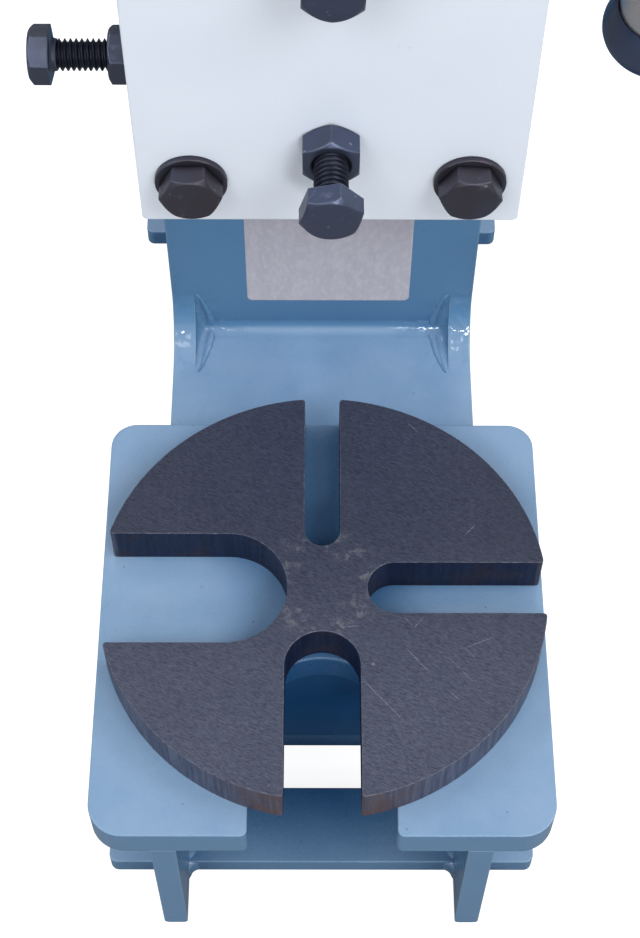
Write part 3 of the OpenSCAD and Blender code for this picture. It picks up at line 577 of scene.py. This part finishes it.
def finish_with(obj, kind, **sets):
    only(obj)
    mod = obj.modifiers.new(kind.lower(), kind)
    for key, value in sets.items():
        setattr(mod, key, value)
    bpy.ops.object.modifier_apply(modifier=mod.name)


def cut(obj, tool, operation):
    finish_with(obj, "BOOLEAN", operation=operation, solver="EXACT", object=tool)
    bpy.data.objects.remove(tool, do_unlink=True)


def clean(obj, gap=MERGE_GAP):
    """Merges doubled points, drops slivers and loose bits, turns all faces outward."""
    only(obj)
    bpy.ops.object.mode_set(mode="EDIT")
    bpy.ops.mesh.select_all(action="SELECT")
    bpy.ops.mesh.remove_doubles(threshold=gap)
    bpy.ops.mesh.dissolve_degenerate(threshold=gap)
    bpy.ops.mesh.delete_loose(use_faces=True)
    bpy.ops.mesh.select_all(action="SELECT")
    bpy.ops.mesh.normals_make_consistent(inside=False)
    bpy.ops.object.mode_set(mode="OBJECT")


def flattened(obj):
    """Joins faces that lie in one plane."""
    finish_with(obj, "DECIMATE", decimate_type="DISSOLVE", angle_limit=math.radians(0.5))


def joined(name, objs):
    unselect()
    for obj in objs:
        obj.select_set(True)
    bpy.context.view_layer.objects.active = objs[0]
    if len(objs) > 1:
        bpy.ops.object.join()
    objs[0].name = name
    objs[0].data.name = name
    return objs[0]


def copy_of(obj):
    twin = obj.copy()
    twin.data = obj.data.copy()
    scene.collection.objects.link(twin)
    return twin


def set_at(obj, matrix):
    obj.matrix_world = matrix
    only(obj)
    bpy.ops.object.transform_apply(location=True, rotation=True, scale=True)
    return obj


def smooth(obj, degrees=28.0):
    only(obj)
    bpy.ops.object.shade_smooth_by_angle(angle=math.radians(degrees))


def ready(obj, body, slot, *nodes, coat=None):
    obj.data.materials.clear()
    obj.data.materials.append(coat or FINISH[slot])
    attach(obj, body)
    if nodes:
        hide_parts(*nodes)


def outline(points):
    """A line through points in the XZ plane, drawn by extruding one corner of a plane."""
    unselect()
    bpy.ops.mesh.primitive_plane_add(size=0.001, location=(0.0, 0.0, 0.0))
    obj = bpy.context.active_object
    bpy.ops.object.mode_set(mode="EDIT")
    bpy.ops.mesh.select_all(action="SELECT")
    bpy.ops.mesh.merge(type="CENTER")
    bpy.ops.transform.translate(value=(points[0][0] * MM, 0.0, points[0][1] * MM))
    for a, b in zip(points, points[1:]):
        step = ((b[0] - a[0]) * MM, 0.0, (b[1] - a[1]) * MM)
        bpy.ops.mesh.extrude_vertices_move(TRANSFORM_OT_translate={"value": step})
    bpy.ops.object.mode_set(mode="OBJECT")
    return obj


def turned(points, steps):
    """A turned shape around Z from its half outline."""
    obj = outline(points)
    finish_with(obj, "SCREW", steps=steps, render_steps=steps, axis="Z", use_merge_vertices=True,
                merge_threshold=MERGE_GAP)
    clean(obj)
    return obj


def thread(d, pitch, length):
    """Thread around Z, standing on z = 0, marked to be darkened as oil and painted shade."""
    crest = d / 2
    root = crest - 0.6 * pitch
    obj = outline([(root, 0.0), (root, 0.12 * pitch), (crest, 0.45 * pitch), (crest, 0.55 * pitch),
                   (root, 0.88 * pitch), (root, pitch)])
    finish_with(obj, "SCREW", steps=36, render_steps=36, axis="Z", screw_offset=pitch * MM,
                iterations=int(length / pitch), use_merge_vertices=False)
    clean(obj)
    only(obj)
    bpy.ops.object.mode_set(mode="EDIT")
    bpy.ops.mesh.select_all(action="DESELECT")
    bpy.ops.mesh.select_non_manifold()
    bpy.ops.mesh.edge_face_add()
    bpy.ops.object.mode_set(mode="OBJECT")
    thread_dark = obj.data.attributes.new("thread_dark", "FLOAT", "POINT")
    for mark in thread_dark.data:
        mark.value = 1.0
    return obj


def hexagon(af, height, face_r, rise, both):
    """Hexagon standing on z = 0 with its corners turned away at the top, or at both ends.

    af is the width across flats; the cone leaves face_r at the end and meets the corners after rise.
    """
    corner = af / math.sqrt(3)
    unselect()
    bpy.ops.mesh.primitive_cylinder_add(vertices=6, radius=corner * MM, depth=height * MM,
                                        location=(0.0, 0.0, height * MM / 2))
    bpy.ops.object.transform_apply(location=True, rotation=False, scale=False)
    blank = bpy.context.active_object
    slope = (corner - face_r) / rise
    deep = height + 1.0
    for end in ((1, -1) if both else (1,)):
        unselect()
        wide = (face_r + deep * slope) * MM
        bottom, top = (wide, face_r * MM) if end > 0 else (face_r * MM, wide)
        middle = height - deep / 2 if end > 0 else deep / 2
        bpy.ops.mesh.primitive_cone_add(vertices=96, radius1=bottom, radius2=top, depth=deep * MM,
                                        location=(0.0, 0.0, middle * MM))
        cut(blank, bpy.context.active_object, "INTERSECT")
    return blank


def eased(obj, width):
    """Small rounded edges on a hexagon."""
    clean(obj, WIDE_GAP)
    flattened(obj)
    finish_with(obj, "BEVEL", width=width * MM, segments=2, limit_method="ANGLE",
                angle_limit=math.radians(24))
    clean(obj, WIDE_GAP)
    smooth(obj)
    finish_with(obj, "WEIGHTED_NORMAL", keep_sharp=True)


HEX_EDGE = 0.12


def hex_screw(name, af, head_t, d, pitch, shank):
    """Hexagon screw: the head stands on z = 0, its shank runs down."""
    head = hexagon(af, head_t, af * 0.472, head_t * 0.2, False)
    eased(head, HEX_EDGE)
    collar = turned([(0.0, 0.22), (d * 0.58, 0.22), (d * 0.52, -0.5), (d * 0.49, -1.5), (0.0, -1.5)], 48)
    smooth(collar)
    body = thread(d, pitch, shank)
    smooth(body, 50.0)
    set_at(body, Matrix.Translation((0.0, 0.0, -(shank - 0.2) * MM)))
    return joined(name, [head, collar, body])


def hex_nut(name, af, height, d):
    """Hexagon nut standing on z = 0, its bore widened at the top."""
    nut = hexagon(af, height, af * 0.474, 0.85, True)
    unselect()
    bpy.ops.mesh.primitive_cylinder_add(vertices=64, radius=d * 0.44 * MM, depth=height * 3 * MM)
    cut(nut, bpy.context.active_object, "DIFFERENCE")
    unselect()
    bpy.ops.mesh.primitive_cone_add(vertices=64, radius1=d * 0.40 * MM, radius2=d * 0.66 * MM, depth=2.0 * MM,
                                    location=(0.0, 0.0, (height - 0.6) * MM))
    cut(nut, bpy.context.active_object, "DIFFERENCE")
    eased(nut, HEX_EDGE)
    nut.name = name
    return nut


def to_front(x, y, z, turn=0.0):
    """Local +Z to the front, turned about Y by degrees."""
    return (Matrix.Translation((x * MM, y * MM, z * MM)) @ Matrix.Rotation(math.radians(turn), 4, "Y")
            @ Matrix.Rotation(math.radians(90), 4, "X"))


def to_left(x, y, z, turn=0.0):
    """Local +Z to the left, turned about X by degrees, a corner of a hexagon up."""
    return (Matrix.Translation((x * MM, y * MM, z * MM)) @ Matrix.Rotation(math.radians(turn), 4, "X")
            @ Matrix.Rotation(math.radians(-90), 4, "Y") @ Matrix.Rotation(math.radians(90), 4, "Z"))


PLATE_FRONT = -227.4                  # front of the white plate
WASHER_T = 1.6
SIDE_NUT_X, SIDE_HEAD_X = -47.6, -68.7   # where the side nuts and the heads of their screws stand
END_BOLT_X = -67.3                    # where the head of the bolt in the shaft's left end stands
AF, HEAD_T, NUT_T, SCREW_D, PITCH = 13.0, 5.3, 6.8, 8.0, 1.4
RAM_Y = -185.0
SHAFT = (93.3, -147.9, 578.0)         # where the lever crosses the axis of the shaft
FRONT_Z = {"lower": 549.0, "upper": 607.0}
SIDE_Z = {"lower": 533.0, "upper": 623.0}

bolt = hex_screw("corner_bolt", AF, HEAD_T, SCREW_D, PITCH, 10.0)
bolts = []
for x, z, turn in ((-32.5, 536.5, 27.0), (32.5, 536.5, 34.0), (-32.5, 619.5, 22.0), (32.5, 619.5, 38.0)):
    bolts.append(set_at(copy_of(bolt), to_front(x, PLATE_FRONT - WASHER_T, z, turn)))
bpy.data.objects.remove(bolt, do_unlink=True)
ready(joined("corner_bolt_set", bolts), "frame", "black_steel", "corner_bolts", coat=BOLT)

nut = hex_nut("lock_nut", AF, NUT_T, SCREW_D)
front_nuts = [set_at(copy_of(nut), to_front(0.0, PLATE_FRONT, z)) for z in FRONT_Z.values()]
side_nuts = [set_at(copy_of(nut), to_left(SIDE_NUT_X, RAM_Y, z)) for z in SIDE_Z.values()]
bpy.data.objects.remove(nut, do_unlink=True)
ready(joined("front_lock_nuts", front_nuts), "frame", "black_steel", "front_gib_locknuts")
ready(joined("side_lock_nuts", side_nuts), "frame", "black_steel", "side_gib_locknuts")

screw = hex_screw("gib_screw", AF, HEAD_T, SCREW_D, PITCH, 23.8)
for level, gap, turn in (("lower", 10.6, 16.0), ("upper", 1.0, 2.0)):
    piece = set_at(copy_of(screw), to_front(0.0, PLATE_FRONT - NUT_T - gap, FRONT_Z[level], turn))
    piece.name = level + "_front_screw"
    ready(piece, level + "_front_adjuster", "black_steel", level + "_front_gib_screw")
for level, z in SIDE_Z.items():
    piece = set_at(copy_of(screw), to_left(SIDE_HEAD_X, RAM_Y, z, 8.0))
    piece.name = level + "_side_screw"
    ready(piece, level + "_side_adjuster", "black_steel", level + "_side_gib_screw")
bpy.data.objects.remove(screw, do_unlink=True)

keeper = hex_screw("shaft_end_bolt", AF, HEAD_T, SCREW_D, PITCH, 12.0)
set_at(keeper, to_left(END_BOLT_X, SHAFT[1], SHAFT[2]))
ready(keeper, "pinion", "black_steel", "keeper_bolt")

LEAN = math.radians(11.0)
ON_LEVER = Matrix.Translation([v * MM for v in SHAFT]) @ Matrix.Rotation(LEAN, 4, "X")
LOCK_SEAT = 32.0                      # from the shaft's axis to the head of the lock screw
LOWER_CAP_Z, UPPER_CAP_Z = -100.0, 364.0   # ends of the caps along the lever
lock = hex_screw("lever_lock_screw", 16.0, 6.4, 10.0, 1.5, 18.0)
set_at(lock, ON_LEVER @ Matrix.Translation((0.0, -LOCK_SEAT * MM, 0.0))
       @ Matrix.Rotation(math.radians(90), 4, "X"))
ready(lock, "pinion", "black_steel", "hub_lock_screw")

foot_arc = [(7.5 + 8.4 * math.sin(a), 7.2 - 7.2 * math.cos(a))
            for a in [math.radians(d) for d in range(0, 91, 10)]]
cap_line = ([(0.0, 0.0)] + foot_arc
            + [(15.85, 8.2), (15.5, 10.0), (14.9, 12.2), (14.25, 14.6), (13.75, 16.4), (13.4, 17.4),
               (13.1, 17.85), (12.85, 17.8), (12.65, 17.3), (12.55, 16.2), (12.55, 4.0), (0.0, 4.0)])
cap = turned(cap_line, 96)
smooth(cap, 40.0)
lower_cap = set_at(copy_of(cap), ON_LEVER @ Matrix.Translation((0.0, 0.0, LOWER_CAP_Z * MM)))
lower_cap.name = "lower_cap"
upper_cap = set_at(cap, ON_LEVER @ Matrix.Translation((0.0, 0.0, UPPER_CAP_Z * MM))
                   @ Matrix.Rotation(math.pi, 4, "X"))
upper_cap.name = "upper_cap"
ready(lower_cap, "lever", "cap_black", "lower_lever_cap")
ready(upper_cap, "lever", "cap_black", "upper_lever_cap")


# Weld seams, swept in mesh code because their ripples and their taper follow the plates

INSIDE_X, OUTSIDE_X = 63.0, 74.0      # faces of the side plates
WALL_Y, DECK_Z = 44.0, 97.0           # front of the upright plate, top of the level plate
THROAT_R, THROAT_Y, THROAT_Z = 28.0, 16.0, 125.0   # curve of the side plates in the throat
FOOT_TOP = 11.0
FOOT_ENDS = ((-206.25, -168.75), (172.75, 210.25))   # front and back edges of the two feet


def swept(name, rings):
    """Closed skin through rings of equal count, its faces turned outward."""
    count = len(rings[0])
    points = [p for ring in rings for p in ring]
    faces = []
    for i in range(len(rings) - 1):
        for j in range(count):
            k = (j + 1) % count
            faces.append((i * count + j, i * count + k, (i + 1) * count + k, (i + 1) * count + j))
    faces.append(tuple(range(count)))
    faces.append(tuple((len(rings) - 1) * count + j for j in range(count)))
    mesh = bpy.data.meshes.new(name)
    mesh.from_pydata([[v * MM for v in p] for p in points], [], faces)
    obj = bpy.data.objects.new(name, mesh)
    scene.collection.objects.link(obj)
    clean(obj)
    mesh.calc_loop_triangles()
    corners = [[mesh.vertices[i].co for i in tri.vertices] for tri in mesh.loop_triangles]
    if sum(a.dot(b.cross(c)) for a, b, c in corners) < 0.0:
        mesh.flip_normals()
    smooth(obj, 70.0)
    return obj


def ripple(i, seed):
    return (0.5 * math.sin(i * 1.9 + seed) + 0.3 * math.sin(i * 0.73 + 2.1 * seed)
            + 0.2 * math.sin(i * 4.1 + seed * 0.7))


def corner_seam(name, start, end, one, two, leg, hollow, seed):
    """Seam along an inside corner; one and two point from the corner along the two plates."""
    a, b, u, v = Vector(start), Vector(end), Vector(one), Vector(two)
    stations = max(4, int((b - a).length / 1.1))
    rings = []
    for i in range(stations + 1):
        t = i / stations
        fade = min(1.0, 8.0 * t + 0.25, 8.0 * (1 - t) + 0.25)
        size = leg * fade * (1.0 + 0.07 * ripple(i, seed))
        base = a.lerp(b, t)
        ring = [base - (u + v) * 0.4]
        for j in range(9):
            f = j / 8
            dip = 1.0 - hollow * math.sin(math.pi * f) * (1.0 + 0.3 * ripple(i + 3 * j, seed + 1.0))
            ring.append(base + u * (size * (1 - f) * dip - 0.2 * f) + v * (size * f * dip - 0.2 * (1 - f)))
        rings.append(ring)
    return swept(name, rings)


def throat_seam(name, side):
    """Seam in the pocket behind the throat curve of one side plate, hollow with a raised toe."""
    half, last = 24, 48
    root_x = side * (INSIDE_X + 0.2)
    rings = []
    for i in range(last + 1):
        a = math.radians(1.0 + 88.0 * i / last)
        edge = Vector((side * (INSIDE_X + 0.05), THROAT_Y + THROAT_R * math.cos(a),
                       THROAT_Z - THROAT_R * math.sin(a)))
        edge += Vector((0.0, math.cos(a), -math.sin(a))) * 0.6
        run = THROAT_R * math.sin(math.radians(90.0 * min(i, last - i) / half)) ** 1.3
        if i <= half:
            root = Vector((root_x, WALL_Y + 0.1, THROAT_Z - run))
            out = Vector((0.0, -1.0, 0.0))
        else:
            root = Vector((root_x, THROAT_Y + run, DECK_Z - 0.1))
            out = Vector((0.0, 0.0, 1.0))
        width = 10.5 * math.sin(2.0 * a) ** 0.7 * (1.0 + 0.05 * ripple(i, 1.0 + side)) + 0.2
        toe = root - Vector((side * width, 0.0, 0.0))
        blend = min(1.0, abs(i - half) / 6.0)
        lift = (out * blend + Vector((0.0, -0.7, 0.7)) * (1.0 - blend)) * min(1.0, width / 3.0)
        ring = [root + Vector((side * 0.5, 0.3, -0.3)), edge + Vector((side * 0.5, 0.3, -0.3))]
        for j in range(15):
            f = j / 14
            p = edge.lerp(toe, f) + (root - edge.lerp(toe, 0.5)) * (0.42 * math.sin(math.pi * f) ** 0.8)
            p += lift * (1.1 * math.exp(-((f - 0.86) / 0.10) ** 2))
            p += lift * (0.22 * ripple(i * 0.8 + 2 * j, 2.0 + side) * math.sin(math.pi * f))
            ring.append(p)
        ring.append(toe - lift * 0.5)
        rings.append(ring)
    return swept(name, rings)


def hollow_seam(name, start, end, one, two, radius, seed):
    """Smooth hollow filling along an inside corner."""
    a, b, u, v = Vector(start), Vector(end), Vector(one), Vector(two)
    stations = 60
    rings = []
    for i in range(stations + 1):
        t = i / stations
        size = radius * (1.0 + 0.03 * ripple(i * 0.3, seed))
        base = a.lerp(b, t)
        ring = [base - (u + v) * 0.4]
        for j in range(13):
            angle = math.radians(-4.0 + 98.0 * j / 12)
            ring.append(base + u * size * (1.0 - math.sin(angle)) + v * size * (1.0 - math.cos(angle)))
        rings.append(ring)
    return swept(name, rings)


middle = hollow_seam("throat_hollow", (1.0 - INSIDE_X, WALL_Y, DECK_Z), (INSIDE_X - 1.0, WALL_Y, DECK_Z),
                     (0.0, 0.0, 1.0), (0.0, -1.0, 0.0), 6.0, 0.4)
ready(middle, "frame", "frame_blue", coat=HOLLOW)
seams = [throat_seam("throat_seam_left", -1), throat_seam("throat_seam_right", 1)]
faces = ((INSIDE_X, -1), (OUTSIDE_X, 1))
front_y = FOOT_ENDS[0][0]
for side in (-1, 1):
    for y0, y1 in FOOT_ENDS:
        for x, way in faces:
            seams.append(corner_seam("foot_seam", (side * x, y0 + 1.5, FOOT_TOP),
                                     (side * x, y1 - 1.5, FOOT_TOP), (side * way, 0.0, 0.0),
                                     (0.0, 0.0, 1.0), 3.4, 0.15, x + y0))
    for x, way in faces:
        seams.append(corner_seam("foot_edge_seam", (side * x, front_y, 0.22), (side * x, front_y, 10.6),
                                 (side * way, 0.0, 0.0), (0.0, -1.0, 0.0), 5.0, 0.3, x))
ready(joined("weld_seams", seams), "frame", "frame_blue", coat=SEAM)


# Plates with softened edges, each from a merged copy of its solid

def merged_copy(node):
    piece = bpy.data.objects.new(node + "_softened", frame["nodes"][node].data.copy())
    scene.collection.objects.link(piece)
    only(piece)
    bpy.ops.mesh.customdata_custom_splitnormals_clear()
    clean(piece)
    flattened(piece)
    return piece


def round_some(piece, width, wanted):
    """Rounds the edges that wanted() picks by the places of their two ends, in mm."""
    only(piece)
    bpy.ops.object.mode_set(mode="EDIT")
    bpy.ops.mesh.select_mode(type="EDGE")
    bpy.ops.mesh.select_all(action="DESELECT")
    bpy.ops.object.mode_set(mode="OBJECT")
    points = piece.data.vertices
    for edge in piece.data.edges:
        a, b = [points[i].co / MM for i in edge.vertices]
        edge.select = wanted(a, b)
    bpy.ops.object.mode_set(mode="EDIT")
    bpy.ops.mesh.bevel(offset=width * MM, segments=4, affect="EDGES")
    bpy.ops.object.mode_set(mode="OBJECT")


def leg_end(a, b):
    """Edges across the plate's end on the ground."""
    return abs(a.z) + abs(b.z) < 0.02 and abs(a.x - b.x) < 0.01 and abs(a.y - b.y) > 3.0


def upright_corner(a, b):
    """Edges where a notch of the round plate meets its rim; half is half the notch's width."""
    if abs(a.z - b.z) < 20.0:
        return False
    x, y = a.x, a.y - PLATE_MIDDLE[1] / MM
    notches = ((x, y, 8.0), (x, -y, 16.5), (y, x, 12.5), (y, -x, 27.0))
    return any(abs(abs(across) - half) < 0.05 and along > 90.0 for across, along, half in notches)


def round_edges(piece, width):
    finish_with(piece, "BEVEL", width=width * MM, segments=3, limit_method="ANGLE",
                angle_limit=math.radians(40))
    smooth(piece, 32.0)
    finish_with(piece, "WEIGHTED_NORMAL", keep_sharp=True, weight=100)


def softened(name, body, width, first=None, first_width=0.0, coat=None):
    """A piece with rounded edges in place of its solid; first picks edges that are rounded more."""
    piece = merged_copy(name)
    if first:
        round_some(piece, first_width, first)
    round_edges(piece, width)
    ready(piece, body, slots[name], name, coat=coat)


def welded(name, width, *nodes):
    """Plates that are welded and painted over: their flush joints disappear under the paint."""
    piece = merged_copy(nodes[0])
    for node in nodes[1:]:
        cut(piece, merged_copy(node), "UNION")
    clean(piece)
    flattened(piece)
    round_some(piece, 2.4, leg_end)
    round_edges(piece, width)
    piece.name = name
    ready(piece, "frame", "frame_blue", *nodes)


welded("welded_frame", 0.9, "left_side_plate", "column_web", "throat_web", "right_side_plate", "back_web",
       "arm_web", "table_cross_web")
for name, width in (("table", 1.6), ("front_foot", 1.6), ("rear_foot", 1.6), ("front_plate", 0.7),
                    ("side_gib_washers", 0.22), ("right_boss", 1.2), ("left_boss", 1.2)):
    softened(name, "frame", width)
softened("corner_washers", "frame", 0.22, coat=BOLT)
softened("table_plate", "table_plate", 0.25, upright_corner, 1.8)
softened("ram", "ram", 0.5)
softened("keeper_washer", "pinion", 0.8)


# Camera, light and floor

scene.view_settings.view_transform = "Standard"
cam = bpy.data.cameras.new("photo_camera")
cam.lens = 72.874
cam.sensor_width = 36.0
cam.clip_start = 0.01
cam.clip_end = 50.0
cam_obj = bpy.data.objects.new("photo_camera", cam)
scene.collection.objects.link(cam_obj)
cam_obj.location = (-0.003633, -0.515105, 0.880275)
cam_obj.rotation_euler = [math.radians(a) for a in (31.254186, -0.201139, 0.00725)]
scene.camera = cam_obj

ROOM_LIGHT = 0.52
PURE_WHITE = (1.0, 1.0, 1.0, 1.0)


def seen_straight(tree):
    """1 for rays that come straight from the camera or through clear matter."""
    path = add(tree, "LightPath")
    return math_node(tree, "MAXIMUM", path.outputs["Is Camera Ray"], path.outputs["Is Transmission Ray"])


world = bpy.data.worlds.new("white_room")
scene.world = world
world.use_nodes = True
wt = world.node_tree
back = wt.nodes["Background"]
back.inputs["Color"].default_value = PURE_WHITE
back.inputs["Strength"].default_value = ROOM_LIGHT
seen = add(wt, "Background")
seen.inputs["Color"].default_value = PURE_WHITE
seen.inputs["Strength"].default_value = 1.0
swap = add(wt, "MixShader")
wire(wt, seen_straight(wt), swap.inputs[0])
wire(wt, back.outputs[0], swap.inputs[1])
wire(wt, seen.outputs[0], swap.inputs[2])
wire(wt, swap.outputs[0], wt.nodes["World Output"].inputs["Surface"])


def lamp(name, place_at, aim, size, power):
    light = bpy.data.lights.new(name, "AREA")
    light.shape = "SQUARE"
    light.size = size
    light.energy = power
    obj = bpy.data.objects.new(name, light)
    scene.collection.objects.link(obj)
    obj.location = place_at
    obj.rotation_euler = (Vector(aim) - Vector(place_at)).to_track_quat("-Z", "Y").to_euler()


OVER_TABLE = (0.0, -0.12, 0.2)
lamp("right_softbox", (1.6, -0.2, 2.1), OVER_TABLE, 0.9, 17.0)
lamp("left_softbox", (-1.6, -0.3, 1.9), OVER_TABLE, 1.0, 14.0)
lamp("right_front_softbox", (0.95, -1.2, 2.05), OVER_TABLE, 0.9, 18.0)
lamp("left_front_softbox", (-0.75, -1.45, 2.15), OVER_TABLE, 0.9, 11.5)
lamp("front_lamp", (0.22, -1.7, 1.2), (0.0, -0.1, 0.2), 0.22, 6.0)
lamp("back_softbox", (0.0, 1.1, 2.1), (0.0, -0.1, 0.1), 1.2, 3.0)

unselect()
bpy.ops.mesh.primitive_plane_add(size=8.0, location=(0.0, 0.0, -0.0005))
floor = bpy.context.active_object
floor.name = "floor"
floor_mat = bpy.data.materials.new("pale_floor")
floor_mat.use_nodes = True
ft = floor_mat.node_tree
fb = ft.nodes["Principled BSDF"]
fb.inputs["Roughness"].default_value = 0.9
fb.inputs["Emission Color"].default_value = PURE_WHITE
clear = seen_straight(ft)
wire(ft, share(ft, clear, 0.9), fb.inputs["Emission Strength"])
wire(ft, mix_colour(ft, clear, (0.26, 0.26, 0.26, 1.0), (0.35, 0.35, 0.35, 1.0)), fb.inputs["Base Color"])
floor.data.materials.append(floor_mat)
